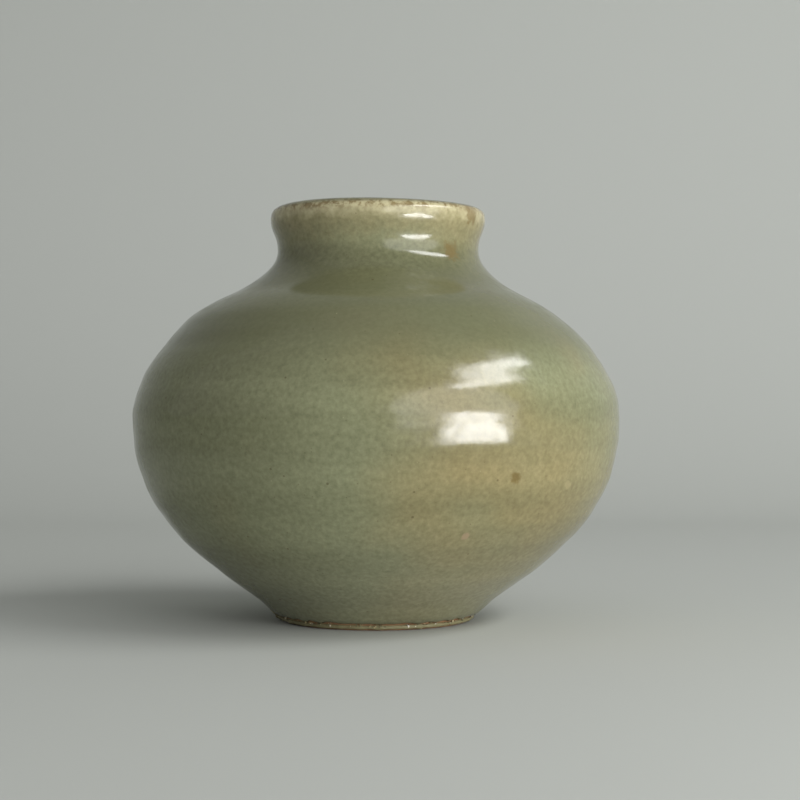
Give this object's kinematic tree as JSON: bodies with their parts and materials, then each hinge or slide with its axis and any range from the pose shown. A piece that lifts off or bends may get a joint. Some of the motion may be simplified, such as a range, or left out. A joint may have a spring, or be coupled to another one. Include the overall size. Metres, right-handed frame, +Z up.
{
  "type": "water pot",
  "caption": "Small wheel-thrown celadon water pot with a round belly, short waisted neck, broad rolled lip and trimmed foot.",
  "frame": {"origin": "centre of the foot's underside", "axes": "+Z up along the axis of the wheel, +X to the right in the picture, +Y away from the viewer"},
  "size_m": [0.0918, 0.0918, 0.0781],
  "materials": {
    "stoneware": "unglazed fired stoneware, fine sandy grain",
    "celadon_glaze": "glossy grey-green celadon with iron specks and pinholes",
    "poured_glaze": "glossy poured celadon with run marks",
    "thin_glaze": "thin matt glaze over clay",
    "kiln_sand": "rough fused kiln sand"
  },
  "bodies": {
    "root": {"stoneware_body": "stoneware", "outer_glaze": "celadon_glaze", "inner_glaze": "poured_glaze", "base_glaze": "thin_glaze", "kiln_grit": "kiln_sand"}
  },
  "joints": []
}
